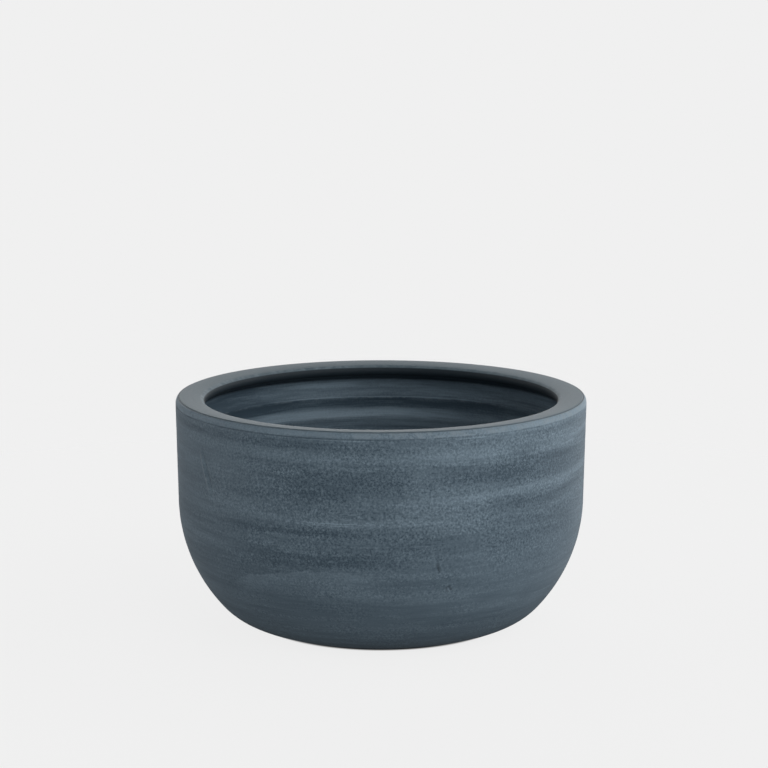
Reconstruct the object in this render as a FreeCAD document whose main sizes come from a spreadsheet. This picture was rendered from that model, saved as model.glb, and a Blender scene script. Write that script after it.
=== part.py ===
import FreeCAD, Part
import math
import os
import Sketcher
from FreeCAD import Vector

# Bowl planter: a wheel-thrown, fired clay bowl with a rolled-in rim, a rubber drain plug and four foot pads.
# Millimetres, +Z up. The origin is the middle of the standing surface, on the axis of the bowl.

doc = FreeCAD.newDocument("bowl_planter")

# Driving dimensions

SIZES = (
    ("outer_diameter", 410.0, "across the rim, outside"),
    ("pot_height", 227.0, "foot ring to the top of the rim"),
    ("wall_draft", 1.9, "how far the wall draws in, from the rim to the top of the belly"),
    ("wall_thickness", 16.0, "clay in the belly and the floor"),
    ("belly_radius", 158.0, "large curve under the wall"),
    ("belly_sweep", 42.0, "degrees of the large curve"),
    ("heel_radius", 58.5, "smaller curve that runs on into the foot"),
    ("rim_width", 29.0, "outside of the rim to the mouth"),
    ("rim_round", 5.5, "rounding of the rim's outer edge"),
    ("rim_slope", 5.0, "degrees that the rim's top falls towards the mouth"),
    ("nose_radius", 6.0, "roll of the lip"),
    ("lip_slope", 30.0, "degrees that the lip's underside falls towards the wall"),
    ("ring_count", 4, "throwing rings on the inside of the wall"),
    ("ring_depth", 1.6, "depth of a throwing ring"),
    ("ring_land", 2.5, "ridge left between two throwing rings"),
    ("foot_ring_width", 26.0, "width of the foot ring that carries the pads"),
    ("foot_recess", 3.0, "depth turned out of the foot's middle"),
    ("foot_bevel", 1.5, "trimmed inner edge of the foot ring"),
    ("drain_diameter", 28.0, "drain hole at the floor"),
    ("drain_taper", 2.0, "radius that the drain hole loses through the floor"),
    ("drain_bevel", 1.0, "trimmed edges of the drain hole"),
    ("plug_clearance", 0.3, "plug to drain hole, on the radius"),
    ("plug_inset", 2.0, "plug's end to the underside of the floor"),
    ("flange_overlap", 8.0, "how far the plug's flange lies on the floor round the hole"),
    ("flange_thickness", 3.5, "plug's flange"),
    ("plug_bevel", 1.2, "bevelled edges of the stopper"),
    ("tab_width", 24.0, "pinch tab on the plug"),
    ("tab_height", 14.0, "pinch tab above the flange"),
    ("tab_thickness", 6.0, "pinch tab"),
    ("tab_corner", 8.0, "round shoulders of the pinch tab"),
    ("tab_edge_round", 1.2, "softened edges of the pinch tab"),
    ("pad_diameter", 18.0, "foot pad"),
    ("pad_thickness", 2.0, "foot pad"),
    ("pad_bevel", 0.6, "bevelled lower edge of a foot pad"),
)

sizes = doc.addObject("Spreadsheet::Sheet", "sizes")
for row, (alias, value, note) in enumerate(SIZES, start=1):
    sizes.set(f"A{row}", alias)
    sizes.set(f"B{row}", str(value))
    sizes.setAlias(f"B{row}", alias)
    sizes.set(f"C{row}", note)
doc.recompute()

# Places worked out from those dimensions, as expressions. Heights are from the foot ring.

ZERO = "0"
OUTER_RADIUS = "(sizes.outer_diameter / 2)"
WALL_RADIUS = f"({OUTER_RADIUS} - sizes.wall_draft)"
INNER_RADIUS = f"({WALL_RADIUS} - sizes.wall_thickness)"

# The wall rounds under in two curves that run into each other and end flat, on the foot
CURVE_STEP = "(sizes.belly_radius - sizes.heel_radius)"
BELLY_HEIGHT = f"(sizes.heel_radius + {CURVE_STEP} * sin(sizes.belly_sweep))"
BELLY_CENTRE = (f"({WALL_RADIUS} - sizes.belly_radius)", BELLY_HEIGHT)
FOOT_RADIUS = f"({WALL_RADIUS} - sizes.belly_radius + {CURVE_STEP} * cos(sizes.belly_sweep))"
HEEL_CENTRE = (FOOT_RADIUS, "sizes.heel_radius")

# The rim's top falls to a round nose, whose underside falls back to the wall
CREASE_RADIUS = f"({OUTER_RADIUS} - sizes.rim_round)"
NOSE_RADIUS = f"({OUTER_RADIUS} - sizes.rim_width + sizes.nose_radius)"
NOSE_TOP = (
    f"({NOSE_RADIUS} - sizes.nose_radius * sin(sizes.rim_slope))",
    f"(sizes.pot_height - tan(sizes.rim_slope)"
    f" * ({CREASE_RADIUS} - {NOSE_RADIUS} + sizes.nose_radius * sin(sizes.rim_slope)))",
)
NOSE_HEIGHT = f"({NOSE_TOP[1]} - sizes.nose_radius * cos(sizes.rim_slope))"
NOSE_FOOT = (
    f"({NOSE_RADIUS} - sizes.nose_radius * sin(sizes.lip_slope))",
    f"({NOSE_HEIGHT} - sizes.nose_radius * cos(sizes.lip_slope))",
)
LIP_FOOT = f"({NOSE_FOOT[1]} - tan(sizes.lip_slope) * ({INNER_RADIUS} - {NOSE_FOOT[0]}))"
RING_PITCH = f"(({LIP_FOOT} - {BELLY_HEIGHT}) / sizes.ring_count)"

RECESS_RADIUS = f"({FOOT_RADIUS} - sizes.foot_ring_width)"
PAD_RING_RADIUS = f"({FOOT_RADIUS} - sizes.foot_ring_width / 2)"
DRAIN_RADIUS = "(sizes.drain_diameter / 2)"

# Heights on the plug are from its own lower end
PLUG_LENGTH = "(sizes.wall_thickness - sizes.foot_recess - sizes.plug_inset)"
PLUG_NECK_RADIUS = f"({DRAIN_RADIUS} - sizes.plug_clearance)"
PLUG_TIP_RADIUS = f"({PLUG_NECK_RADIUS} - sizes.drain_taper * {PLUG_LENGTH} / sizes.wall_thickness)"
FLANGE_RADIUS = f"({DRAIN_RADIUS} + sizes.flange_overlap)"
FLANGE_TOP = f"({PLUG_LENGTH} + sizes.flange_thickness)"
TAB_TOP = f"({FLANGE_TOP} + sizes.tab_height)"

SAME = 0.001


def size(expression):
    """Returns the number that an expression on the sheet gives, in millimetres."""
    return float(sizes.evalExpression(expression))


# Sketches and features

def new_body(label):
    """Adds an empty body."""
    body = doc.addObject("PartDesign::Body", label)
    body.Label = label
    return body


def new_sketch(body, name, role="XZ_Plane"):
    """Adds a sketch on one of the body's own origin planes."""
    plane = next(item for item in body.Origin.OriginFeatures if item.Role == role)
    sketch = body.newObject("Sketcher::SketchObject", name)
    sketch.AttachmentSupport = [(plane, "")]
    sketch.MapMode = "FlatFace"
    return sketch


def tie(sketch, constraint, expression):
    """Adds a dimension to a sketch and binds it to an expression."""
    index = sketch.addConstraint(constraint)
    sketch.setExpression(f"Constraints[{index}]", expression)


def round_edge(sketch, start, end, centre):
    """Draws the short way round from one point to the next, and returns which ends of the arc they are."""
    from_start = start - centre
    from_end = end - centre
    runs_back = from_start.cross(from_end).z < 0
    if runs_back:
        from_start, from_end = from_end, from_start
    circle = Part.Circle(centre, Vector(0, 0, 1), from_start.Length)
    angles = [math.atan2(arm.y, arm.x) for arm in (from_start, from_end)]
    sketch.addGeometry(Part.ArcOfCircle(circle, *angles))
    return (2, 1) if runs_back else (1, 2)


def draw_outline(sketch, corners, centres=()):
    """Draws a closed outline through its corners, each a pair of expressions for across and up.

    The edge that leaves a corner is straight, or round where centres gives the corner's number and the centre
    of the arc.
    """
    points = [Vector(size(across), size(up), 0) for across, up in corners]
    round_from = dict(centres)
    ends = []
    for corner, start in enumerate(points):
        end = points[(corner + 1) % len(points)]
        if corner in round_from:
            across, up = round_from[corner]
            ends.append(round_edge(sketch, start, end, Vector(size(across), size(up), 0)))
        else:
            sketch.addGeometry(Part.LineSegment(start, end))
            ends.append((1, 2))
    for corner, (across, up) in enumerate(corners):
        following = (corner + 1) % len(corners)
        first, last = ends[corner]
        sketch.addConstraint(Sketcher.Constraint("Coincident", corner, last, following, ends[following][0]))
        for kind, axis, expression in (("DistanceX", -2, across), ("DistanceY", -1, up)):
            if expression == ZERO:
                sketch.addConstraint(Sketcher.Constraint("PointOnObject", corner, first, axis))
            else:
                tie(sketch, Sketcher.Constraint(kind, -1, 1, corner, first, size(expression)), expression)
        if corner in round_from:
            centre = round_from[corner][0]
            tie(sketch, Sketcher.Constraint("DistanceX", -1, 1, corner, 3, size(centre)), centre)


def turn(body, name, sketch, kind="Revolution"):
    """Turns a sketch right round its upright axis, to add material or to cut it away."""
    before = 0 if body.Shape.isNull() else body.Shape.Volume
    feature = body.newObject(f"PartDesign::{kind}", name)
    feature.Profile = sketch
    feature.ReferenceAxis = (sketch, ["V_Axis"])
    feature.Angle = 360
    doc.recompute()
    grew = feature.Shape.Volume > before + SAME
    shrank = feature.Shape.Volume < before - SAME
    if not (grew if kind == "Revolution" else shrank):
        raise RuntimeError(f"{name} did not change the volume as it should")
    return feature


def finish_edges(body, name, base, kind, amount, wanted):
    """Bevels (Chamfer) or rounds (Fillet) the edges of a feature that a test picks out."""
    edges = [f"Edge{number}" for number, edge in enumerate(base.Shape.Edges, start=1) if wanted(edge)]
    if not edges:
        raise RuntimeError(f"{name} found no edge to finish")
    feature = body.newObject(f"PartDesign::{kind}", name)
    feature.Base = (base, edges)
    feature.setExpression("Radius" if kind == "Fillet" else "Size", amount)
    doc.recompute()
    return feature


def circles_at(*places):
    """Returns a test for full circles about the axis, at the given radius and height expressions."""
    wanted = [(size(radius), size(height)) for radius, height in places]

    def is_wanted(edge):
        if not isinstance(edge.Curve, Part.Circle):
            return False
        circle = edge.Curve
        return any(abs(circle.Radius - r) < SAME and abs(circle.Center.z - z) < SAME for r, z in wanted)

    return is_wanted


# Bowl: the thrown section, then the foot, the drain hole and the throwing rings

def heel_joint(radius):
    """Returns where the two curves under the wall meet, on the heel's curve of the given radius."""
    return (
        f"({FOOT_RADIUS} + {radius} * cos(sizes.belly_sweep))",
        f"(sizes.heel_radius - {radius} * sin(sizes.belly_sweep))",
    )


pot = new_body("pot_body")
pot.setExpression(".Placement.Base.z", "sizes.pad_thickness")

section = new_sketch(pot, "thrown_section")
draw_outline(
    section,
    corners=(
        (ZERO, ZERO),
        (FOOT_RADIUS, ZERO),
        heel_joint("sizes.heel_radius"),
        (WALL_RADIUS, BELLY_HEIGHT),
        (OUTER_RADIUS, "(sizes.pot_height - sizes.rim_round)"),
        (CREASE_RADIUS, "sizes.pot_height"),
        NOSE_TOP,
        NOSE_FOOT,
        (INNER_RADIUS, LIP_FOOT),
        (INNER_RADIUS, BELLY_HEIGHT),
        heel_joint("(sizes.heel_radius - sizes.wall_thickness)"),
        (FOOT_RADIUS, "sizes.wall_thickness"),
        (ZERO, "sizes.wall_thickness"),
    ),
    centres=(
        (1, HEEL_CENTRE),
        (2, BELLY_CENTRE),
        (4, (CREASE_RADIUS, "(sizes.pot_height - sizes.rim_round)")),
        (6, (NOSE_RADIUS, NOSE_HEIGHT)),
        (9, BELLY_CENTRE),
        (10, HEEL_CENTRE),
    ),
)
turn(pot, "thrown_bowl", section)

foot = new_sketch(pot, "foot_section")
draw_outline(
    foot,
    corners=(
        (ZERO, ZERO),
        (RECESS_RADIUS, ZERO),
        (RECESS_RADIUS, "sizes.foot_recess"),
        (ZERO, "sizes.foot_recess"),
    ),
)
turn(pot, "foot_turning", foot, "Groove")

# The sides of the drain hole carry on above the floor at the same slope
drain = new_sketch(pot, "drain_section")
draw_outline(
    drain,
    corners=(
        (ZERO, ZERO),
        (f"({DRAIN_RADIUS} - sizes.drain_taper)", ZERO),
        (f"({DRAIN_RADIUS} + sizes.drain_taper)", "(sizes.wall_thickness * 2)"),
        (ZERO, "(sizes.wall_thickness * 2)"),
    ),
)
drain_hole = turn(pot, "drain_hole", drain, "Groove")

drain_outlet = f"({DRAIN_RADIUS} - sizes.drain_taper * (1 - sizes.foot_recess / sizes.wall_thickness))"
drain_edges = finish_edges(
    pot,
    "drain_edges",
    drain_hole,
    "Chamfer",
    "sizes.drain_bevel",
    circles_at((DRAIN_RADIUS, "sizes.wall_thickness"), (drain_outlet, "sizes.foot_recess")),
)
finish_edges(pot, "foot_edge", drain_edges, "Chamfer", "sizes.foot_bevel", circles_at((RECESS_RADIUS, ZERO)))

# One throwing ring is a shallow round groove above the belly, repeated up the wall to the lip
ring_half = f"(({RING_PITCH} - sizes.ring_land) / 2)"
ring_radius = f"(({ring_half} ^ 2 + sizes.ring_depth ^ 2) / (2 * sizes.ring_depth))"
ring_low = f"({BELLY_HEIGHT} + sizes.ring_land / 2)"
ring_high = f"({ring_low} + 2 * {ring_half})"
ring_front = f"({INNER_RADIUS} - sizes.ring_depth)"
ring = new_sketch(pot, "ring_section")
draw_outline(
    ring,
    corners=(
        (ring_front, ring_low),
        (INNER_RADIUS, ring_low),
        (INNER_RADIUS, ring_high),
        (ring_front, ring_high),
    ),
    centres=((1, (f"({INNER_RADIUS} + sizes.ring_depth - {ring_radius})", f"({ring_low} + {ring_half})")),),
)
first_ring = turn(pot, "throwing_ring", ring, "Groove")
rings = pot.newObject("PartDesign::LinearPattern", "throwing_rings")
rings.Originals = [first_ring]
rings.Direction = (ring, ["V_Axis"])
rings.Mode = "Spacing"
rings.setExpression("Offset", RING_PITCH)
rings.setExpression("Occurrences", "sizes.ring_count")
pot.Tip = rings
doc.recompute()

# Drain plug: a tapered stopper with a flange that lies on the floor, and a tab to pinch

plug = new_body("drain_plug")
plug.setExpression(".Placement.Base.z", "sizes.pad_thickness + sizes.foot_recess + sizes.plug_inset")

stopper = new_sketch(plug, "stopper_section")
draw_outline(
    stopper,
    corners=(
        (ZERO, ZERO),
        (PLUG_TIP_RADIUS, ZERO),
        (PLUG_NECK_RADIUS, PLUG_LENGTH),
        (FLANGE_RADIUS, PLUG_LENGTH),
        (FLANGE_RADIUS, FLANGE_TOP),
        (ZERO, FLANGE_TOP),
    ),
)
plug_blank = turn(plug, "stopper", stopper)
finish_edges(
    plug,
    "stopper_edges",
    plug_blank,
    "Chamfer",
    "sizes.plug_bevel",
    circles_at((PLUG_TIP_RADIUS, ZERO), (FLANGE_RADIUS, FLANGE_TOP)),
)

tab_side = "(sizes.tab_width / 2)"
tab_root = f"({PLUG_LENGTH} + sizes.flange_thickness / 2)"
tab_outline = new_sketch(plug, "tab_outline")
draw_outline(
    tab_outline,
    corners=(
        (f"-{tab_side}", tab_root),
        (tab_side, tab_root),
        (tab_side, TAB_TOP),
        (f"-{tab_side}", TAB_TOP),
    ),
)
tab = plug.newObject("PartDesign::Pad", "pinch_tab")
tab.Profile = tab_outline
tab.SideType = "Symmetric"
tab.setExpression("Length", "sizes.tab_thickness")
doc.recompute()


def is_tab_shoulder(edge):
    """Picks out the two top corners of the pinch tab, which run through its thickness."""
    box = edge.BoundBox
    return box.ZMin > size(TAB_TOP) - SAME and box.XLength < SAME


def is_tab_edge(edge):
    """Picks out the edges round the two broad faces of the pinch tab, above the flange."""
    box = edge.BoundBox
    on_face = box.YLength < SAME and abs(abs(box.YMin) - size("sizes.tab_thickness") / 2) < SAME
    return on_face and box.ZMax > size(FLANGE_TOP) + SAME


shoulders = finish_edges(plug, "tab_shoulders", tab, "Fillet", "sizes.tab_corner", is_tab_shoulder)
finish_edges(plug, "tab_edges", shoulders, "Fillet", "sizes.tab_edge_round", is_tab_edge)

# Foot pads: round discs under the foot ring, a quarter turn apart

PAD_COUNT = 4
FIRST_PAD_ANGLE = 45


def make_pad(number):
    """Makes one foot pad in its place under the foot ring."""
    body = new_body(f"foot_pad_{number}")
    outline = new_sketch(body, f"pad_outline_{number}", "XY_Plane")
    outline.addGeometry(Part.Circle(Vector(), Vector(0, 0, 1), size("sizes.pad_diameter / 2")))
    outline.addConstraint(Sketcher.Constraint("Coincident", 0, 3, -1, 1))
    tie(outline, Sketcher.Constraint("Diameter", 0, size("sizes.pad_diameter")), "sizes.pad_diameter")
    disc = body.newObject("PartDesign::Pad", f"pad_disc_{number}")
    disc.Profile = outline
    disc.setExpression("Length", "sizes.pad_thickness")
    doc.recompute()
    lower_edge = circles_at(("sizes.pad_diameter / 2", ZERO))
    finish_edges(body, f"pad_edge_{number}", disc, "Chamfer", "sizes.pad_bevel", lower_edge)
    angle = FIRST_PAD_ANGLE + (number - 1) * 360 / PAD_COUNT
    body.setExpression(".Placement.Base.x", f"{PAD_RING_RADIUS} * cos({angle})")
    body.setExpression(".Placement.Base.y", f"{PAD_RING_RADIUS} * sin({angle})")
    return body


pads = [make_pad(number) for number in range(1, PAD_COUNT + 1)]
doc.recompute()

# Checks, then one file for each piece

pieces = [pot, plug, *pads]
for item in doc.Objects:
    if "Invalid" in item.State or "Error" in item.State:
        raise RuntimeError(f"{item.Label} did not build: {item.State}")
for piece in pieces:
    if piece.Shape.isNull() or not piece.Shape.isValid() or len(piece.Shape.Solids) != 1:
        raise RuntimeError(f"{piece.Label} is not one sound solid")

os.makedirs("parts", exist_ok=True)
for piece in pieces:
    piece.Shape.exportStep(f"parts/{piece.Label}.step")
    box = piece.Shape.optimalBoundingBox(False)
    print(f"{piece.Label}: {piece.Shape.Volume / 1000:.1f} cm3, z {box.ZMin:.2f} to {box.ZMax:.2f}")
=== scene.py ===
"""Dresses the bowl planter: thrown clay under a brushed slate wash, a rubber drain plug and rubber foot pads.

Sizes are in metres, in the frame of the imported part: +Z up, with the origin in the middle of the standing
surface. Angles round the outside are in degrees from the front (-Y) and grow towards the right (+X).
"""
import logging
import math
from collections.abc import Callable, Mapping
from dataclasses import dataclass
from enum import Enum

import bmesh
import bpy
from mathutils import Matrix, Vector, noise


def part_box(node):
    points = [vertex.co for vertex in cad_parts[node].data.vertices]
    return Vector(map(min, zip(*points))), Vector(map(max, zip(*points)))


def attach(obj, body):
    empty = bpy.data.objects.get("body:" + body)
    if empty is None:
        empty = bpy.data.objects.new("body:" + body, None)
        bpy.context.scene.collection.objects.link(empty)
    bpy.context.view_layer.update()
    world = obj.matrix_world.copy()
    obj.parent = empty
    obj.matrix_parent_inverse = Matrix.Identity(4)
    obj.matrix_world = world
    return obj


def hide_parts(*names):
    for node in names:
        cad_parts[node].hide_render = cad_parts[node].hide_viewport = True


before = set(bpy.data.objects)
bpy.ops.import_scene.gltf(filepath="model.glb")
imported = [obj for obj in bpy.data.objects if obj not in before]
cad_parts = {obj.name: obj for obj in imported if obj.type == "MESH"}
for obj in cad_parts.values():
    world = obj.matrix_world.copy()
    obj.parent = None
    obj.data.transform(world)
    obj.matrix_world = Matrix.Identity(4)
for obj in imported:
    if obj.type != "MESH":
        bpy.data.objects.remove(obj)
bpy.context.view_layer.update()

log = logging.getLogger("bowl_planter")

Point = tuple[float, float]
Colour = tuple[float, float, float, float]
Triple = tuple[float, float, float]
Node = bpy.types.Node
Tree = bpy.types.NodeTree
Socket = bpy.types.NodeSocket
Material = bpy.types.Material
Piece = bpy.types.Object
Mesh = bmesh.types.BMesh
Vert = bmesh.types.BMVert
Edge = bmesh.types.BMEdge
Feed = float | tuple[float, ...] | Socket
Sockets = Mapping[str, Socket]

PATH_LAYER = "wall_path"
ZONE_LAYER = "zone"
# Paling of each vertex: rubbing on edges, and painted highlight on ring crests, the rim's inner edge and the
# marks' raised lips.
WEAR_AND_HIGHLIGHT_LAYER = "wear_and_highlight"
# Painted shade of each vertex: in the fine lines, the marks' grooves, and under the rim's inner edge and the
# lip.
PAINTED_SHADE_LAYER = "painted_shade"
TURN_LAYER = "turn"
SHARP_ANGLE = math.radians(38.0)
MERGE_DISTANCE = 1e-6
WHITE: Colour = (1.0, 1.0, 1.0, 1.0)

# Noise lies mostly near a half. Each range is the part of it that a mask is spread over.
WAVER_RANGE: Point = (0.30, 0.70)
MARK_RANGE: Point = (0.32, 0.68)
GRAIN_RANGE: Point = (0.36, 0.64)
WEAR_RANGE: Point = (0.38, 0.70)

ZONE_STEP = 0.15
RIGHTWARD: Point = (-0.06, 0.04)
RIM_BAND: Point = (0.212, 0.217)


class Body(Enum):
    """Bodies of the part that pieces ride on."""

    POT = "pot"
    PLUG = "plug"


class Zone(Enum):
    """Stretches of the bowl's section, numbered in the order in which the section passes them."""

    UNDERSIDE = 0.0
    OUTSIDE = 1.0
    RIM = 2.0
    INSIDE = 3.0


class Effect(Enum):
    """Surface effects that finishes share. Each is one node group of that name."""

    MOTTLE = "mottle"
    FLECKS = "flecks"
    BRUSH = "brush"
    STROKE = "stroke"
    EDGE_WEAR = "edge_wear"


class Graph:
    """A node tree, with short calls for the nodes that the finishes are made of."""

    def __init__(self, tree: Tree) -> None:
        """Takes the tree that the calls add to."""
        self.tree = tree

    def node(self, kind: str, feeds: Mapping[str | int, Feed] | None = None, **settings: object) -> Node:
        """Adds a node.

        Args:
            kind: The node's type.
            feeds: A constant or a link for each input, by the input's name or number.
            settings: The node's own properties.

        Returns:
            The new node.
        """
        node = self.tree.nodes.new(kind)
        for name, value in settings.items():
            setattr(node, name, value)
        for key, value in (feeds or {}).items():
            if isinstance(value, Socket):
                self.tree.links.new(value, node.inputs[key])
            else:
                node.inputs[key].default_value = value
        return node

    def math(self, operation: str, *values: Feed) -> Socket:
        """Returns the result of a Math node."""
        return self.node("ShaderNodeMath", dict(enumerate(values)), operation=operation).outputs[0]

    def times(self, first: Feed, second: Feed) -> Socket:
        """Returns a product."""
        return self.math("MULTIPLY", first, second)

    def plus(self, first: Feed, second: Feed) -> Socket:
        """Returns a sum."""
        return self.math("ADD", first, second)

    def minus(self, first: Feed, second: Feed) -> Socket:
        """Returns a difference."""
        return self.math("SUBTRACT", first, second)

    def inverse(self, value: Feed) -> Socket:
        """Returns what a value leaves of 1."""
        return self.math("SUBTRACT", 1.0, value)

    def scaled(self, value: Feed, factor: Feed, base: Feed) -> Socket:
        """Returns a value times a factor, on top of a base."""
        return self.math("MULTIPLY_ADD", value, factor, base)

    def weighted(self, *terms: tuple[Feed, Feed]) -> Socket:
        """Adds up values.

        Args:
            terms: Each value with its weight.

        Returns:
            The weighted sum.
        """
        value, weight = terms[0]
        result = self.times(value, weight)
        for value, weight in terms[1:]:
            result = self.scaled(value, weight, result)
        return result

    def vector(self, operation: str, first: Feed, second: Feed = (0.0, 0.0, 0.0)) -> Socket:
        """Returns the vector that a Vector Math node gives."""
        return self.node("ShaderNodeVectorMath", {0: first, 1: second}, operation=operation).outputs[0]

    def smooth(self, value: Feed, low: Feed, high: Feed) -> Socket:
        """Returns a soft step from 0 at low to 1 at high."""
        feeds = {"Value": value, "From Min": low, "From Max": high}
        return self.node("ShaderNodeMapRange", feeds, interpolation_type="SMOOTHSTEP").outputs[0]

    def window(self, value: Feed, low: float, high: float, fade: float) -> Socket:
        """Returns 1 between low and high, with soft ends that fade inwards."""
        rise = self.smooth(value, low, low + fade)
        return self.times(rise, self.smooth(value, high, high - fade))

    def spread(self, value: Feed, low: float, high: float) -> Socket:
        """Returns a value from -1 to 1 as the given one goes from low to high."""
        feeds = {"Value": value, "From Min": low, "From Max": high, "To Min": -1.0, "To Max": 1.0}
        return self.node("ShaderNodeMapRange", feeds).outputs[0]

    def noise(self, vector: Feed, scale: Feed, detail: float = 2.0) -> Socket:
        """Returns soft noise from 0 to 1, mostly near a half."""
        feeds = {"Vector": vector, "Scale": scale, "Detail": detail}
        return self.node("ShaderNodeTexNoise", feeds).outputs[0]

    def waver(self, vector: Feed, scale: float, reach: float, detail: float = 3.0) -> Socket:
        """Returns noise that strays as far as the reach to either side of 0."""
        return self.times(self.spread(self.noise(vector, scale, detail), *WAVER_RANGE), reach)

    def layer(self, name: str) -> Socket:
        """Returns the value that the mesh keeps in a layer of its own."""
        node = self.node("ShaderNodeAttribute", attribute_name=name, attribute_type="GEOMETRY")
        return node.outputs["Fac"]

    def blend(self, factor: Feed, first: Feed, second: Feed) -> Socket:
        """Returns a colour between two colours."""
        return self.node("ShaderNodeMix", {0: factor, 6: first, 7: second}, data_type="RGBA").outputs[2]

    def effect(self, group: Tree, feeds: Mapping[str, Feed]) -> Socket:
        """Returns what a shared effect gives for these inputs."""
        return self.node("ShaderNodeGroup", feeds, node_tree=group).outputs[0]


class EffectLibrary:
    """The shared effects, each built once as a node group."""

    fine_grain: float = 2.7
    wander_scale: float = 1.6
    wander: float = 0.0012
    stroke_fade: float = 0.3

    def __init__(self) -> None:
        """Builds every group."""
        self.groups = {
            Effect.MOTTLE: self._mottle(),
            Effect.FLECKS: self._flecks(),
            Effect.BRUSH: self._brush(),
            Effect.STROKE: self._stroke(),
            Effect.EDGE_WEAR: self._edge_wear(),
        }

    def __getitem__(self, effect: Effect) -> Tree:
        """Returns an effect's node group."""
        return self.groups[effect]

    @staticmethod
    def _group(
        effect: Effect,
        inputs: Mapping[str, str],
        wire: Callable[[Graph, Sockets], Socket],
    ) -> Tree:
        """Builds a group with one output.

        Args:
            effect: The effect, which names the group.
            inputs: The kind of each input socket, by name.
            wire: Adds the nodes to a graph, from the inputs by name, and returns the socket of the result.

        Returns:
            The finished group.
        """
        tree = bpy.data.node_groups.new(effect.value, "ShaderNodeTree")
        for name, kind in inputs.items():
            tree.interface.new_socket(name=name, in_out="INPUT", socket_type=f"NodeSocket{kind}")
        tree.interface.new_socket(name="Mask", in_out="OUTPUT", socket_type="NodeSocketFloat")
        graph = Graph(tree)
        entry = graph.node("NodeGroupInput")
        result = wire(graph, {name: entry.outputs[name] for name in inputs})
        graph.node("NodeGroupOutput", {"Mask": result})
        return tree

    def _mottle(self) -> Tree:
        """Uneven grain from -1 to 1, in two sizes.

        Returns:
            The effect's node group.
        """

        def wire(graph: Graph, given: Sockets) -> Socket:
            """Mixes coarse and fine noise."""
            coarse = graph.noise(given["Position"], given["Scale"])
            fine = graph.noise(given["Position"], graph.times(given["Scale"], self.fine_grain))
            return graph.spread(graph.weighted((coarse, 0.55), (fine, 0.45)), *GRAIN_RANGE)

        return self._group(Effect.MOTTLE, {"Position": "Vector", "Scale": "Float"}, wire)

    def _flecks(self) -> Tree:
        """Scattered small spots: 1 in the middle of a spot, 0 between spots.

        Returns:
            The effect's node group.
        """

        def wire(graph: Graph, given: Sockets) -> Socket:
            """Picks some cells and marks their middles.

            Args:
                graph: The group's graph.
                given: The group's inputs, by name.

            Returns:
                The mask.
            """
            feeds = {"Vector": given["Position"], "Scale": given["Scale"]}
            cells = graph.node("ShaderNodeTexVoronoi", feeds)
            lot = graph.node("ShaderNodeSeparateColor", {0: cells.outputs["Color"]}).outputs[0]
            chosen = graph.math("LESS_THAN", lot, given["Share"])
            spot = graph.smooth(cells.outputs["Distance"], given["Size"], 0.0)
            return graph.times(chosen, spot)

        inputs = {"Position": "Vector", "Scale": "Float", "Share": "Float", "Size": "Float"}
        return self._group(Effect.FLECKS, inputs, wire)

    def _brush(self) -> Tree:
        """Brush marks round the axis, from -1 to 1: long round the turn, fine across it, never level.

        Returns:
            The effect's node group.
        """

        def wire(graph: Graph, given: Sockets) -> Socket:
            """Stretches noise round the axis.

            Args:
                graph: The group's graph.
                given: The group's inputs, by name.

            Returns:
                The marks.
            """
            outward = graph.vector("NORMALIZE", graph.vector("MULTIPLY", given["Position"], (1.0, 1.0, 0.0)))
            wander = graph.waver(outward, self.wander_scale, self.wander, 1.0)
            across = graph.times(graph.plus(given["Path"], wander), given["Fineness"])
            feeds = {0: outward, "Scale": given["Run"]}
            around = graph.node("ShaderNodeVectorMath", feeds, operation="SCALE").outputs[0]
            shift = graph.node("ShaderNodeCombineXYZ", {"Z": across}).outputs[0]
            return graph.spread(graph.noise(graph.vector("ADD", around, shift), 1.0, 3.0), *MARK_RANGE)

        inputs = {"Position": "Vector", "Path": "Float", "Run": "Float", "Fineness": "Float"}
        return self._group(Effect.BRUSH, inputs, wire)

    def _stroke(self) -> Tree:
        """One placed band, from 0 to 1, between two angles and about one height, used for the outside's
        lighter and darker bands and for painted light and shade.

        Returns:
            The effect's node group.
        """

        def wire(graph: Graph, given: Sockets) -> Socket:
            """Fades a band at its edges and its two ends.

            Args:
                graph: The group's graph.
                given: The group's inputs, by name.

            Returns:
                The mask.
            """
            feeds = {"Value": given["Angle"], "From Min": given["Start"], "From Max": given["End"]}
            along = graph.node("ShaderNodeMapRange", feeds, clamp=False).outputs[0]
            climb = graph.times(given["Rise"], graph.minus(along, 0.5))
            off = graph.minus(given["Height"], graph.plus(given["Level"], climb))
            ratio = graph.plus(graph.math("DIVIDE", off, given["Half Width"]), given["Waver"])
            fall = graph.math("EXPONENT", graph.times(graph.math("POWER", ratio, 4.0), -1.0))
            return graph.times(graph.window(along, 0.0, 1.0, self.stroke_fade), fall)

        names = ("Angle", "Height", "Waver", "Start", "End", "Level", "Rise", "Half Width")
        return self._group(Effect.STROKE, {name: "Float" for name in names}, wire)

    def _edge_wear(self) -> Tree:
        """Broken paling from 0 to 1, where the mesh marks rubbed edges and painted highlights.

        Returns:
            The effect's node group.
        """

        def wire(graph: Graph, given: Sockets) -> Socket:
            """Breaks the paling up into patches."""
            patches = graph.noise(given["Position"], given["Scale"], 4.0)
            return graph.times(given["Wear"], graph.smooth(patches, *WEAR_RANGE))

        return self._group(Effect.EDGE_WEAR, {"Position": "Vector", "Scale": "Float", "Wear": "Float"}, wire)


def new_material(name: str) -> tuple[Material, Graph, Node]:
    """Adds a material with one Principled shader.

    Args:
        name: The material's name.

    Returns:
        The material, its graph and its shader.
    """
    material = bpy.data.materials.new(name)
    material.use_nodes = True
    graph = Graph(material.node_tree)
    return material, graph, material.node_tree.nodes["Principled BSDF"]


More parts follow.
